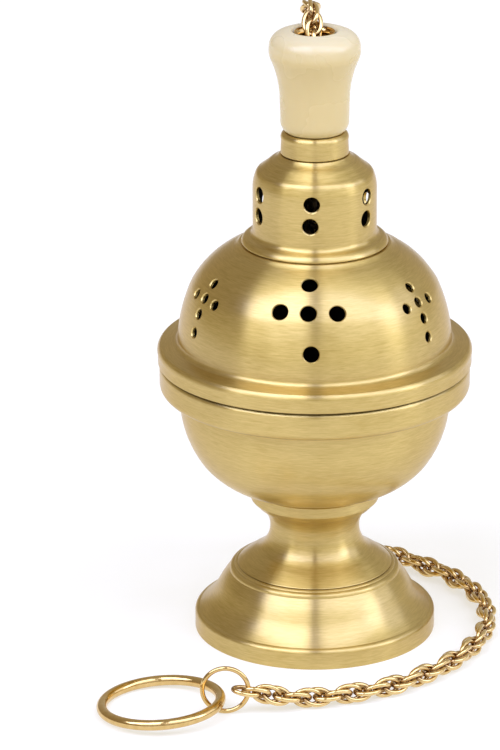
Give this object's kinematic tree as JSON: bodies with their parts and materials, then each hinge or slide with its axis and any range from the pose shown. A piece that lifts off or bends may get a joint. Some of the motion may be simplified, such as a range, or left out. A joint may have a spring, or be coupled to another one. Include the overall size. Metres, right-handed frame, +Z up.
{
  "type": "thurible censer",
  "caption": "Single-chain brass thurible: footed fire bowl, pierced domed lid with a sliding ivory knob, rope chain ending in a finger ring.",
  "frame": {"origin": "centre of the foot's underside, on the table", "axes": "+Z up along the axis of revolution; -Y towards the finger ring at the front; +X towards the side where the chain lies"},
  "size_m": [0.1529, 0.1812, 0.2493],
  "materials": {
    "satin_brass": "satin, brushed round the axis",
    "polished_brass": "polished",
    "ivory_plastic": "glossy ivory-coloured plastic",
    "steel": "plain steel"
  },
  "bodies": {
    "root": {"foot_base": "satin_brass", "foot_stem": "satin_brass", "foot_bolt": "steel", "bolt_washer": "steel", "foot_nut": "steel", "bowl": "satin_brass", "rim_band": "satin_brass", "bail": "satin_brass", "bail_rivet_left": "polished_brass", "bail_rivet_right": "polished_brass", "chain_table": "polished_brass", "end_link": "polished_brass"},
    "lid": {"lid_dome": "satin_brass", "cupola": "satin_brass", "knob_collar": "satin_brass", "knob": "ivory_plastic", "knob_liner": "polished_brass", "liner_nut": "satin_brass", "chain_drape": "polished_brass"},
    "coal_pan": {"coal_pan": "steel"},
    "inner_chain": {"swivel_eye": "polished_brass", "anchor_ring": "polished_brass", "inner_link_01": "polished_brass", "inner_link_02": "polished_brass", "inner_link_03": "polished_brass", "inner_link_04": "polished_brass", "inner_link_05": "polished_brass", "inner_link_06": "polished_brass", "inner_link_07": "polished_brass", "inner_link_08": "polished_brass", "inner_link_09": "polished_brass", "inner_link_10": "polished_brass", "inner_link_11": "polished_brass", "inner_link_12": "polished_brass", "inner_link_13": "polished_brass", "inner_link_14": "polished_brass", "inner_link_15": "polished_brass", "inner_link_16": "polished_brass", "inner_link_17": "polished_brass"},
    "small_ring": {"small_ring": "polished_brass"},
    "finger_ring": {"finger_ring": "polished_brass"}
  },
  "joints": [
    {"name": "lid_slide", "type": "slide", "parent": "root", "child": "lid", "axis": [0, 0, 1], "range_m": [0, 0.06]},
    {"name": "pan_lift", "type": "slide", "parent": "root", "child": "coal_pan", "axis": [0, 0, 1], "range_m": [0, 0.03]},
    {"name": "chain_swivel", "type": "hinge", "parent": "root", "child": "inner_chain", "pos_m": [0, 0, 0.15], "axis": [0, 0, 1], "continuous": true},
    {"name": "small_ring_swivel", "type": "hinge", "parent": "root", "child": "small_ring", "pos_m": [-0.02475, -0.087, 0.0096], "axis": [0, 0, 1], "range_deg": [-25, 25]},
    {"name": "finger_ring_swing", "type": "hinge", "parent": "small_ring", "child": "finger_ring", "pos_m": [-0.03525, -0.0854, 0.00525], "axis": [0, 1, 0], "range_deg": [0, 100]}
  ]
}
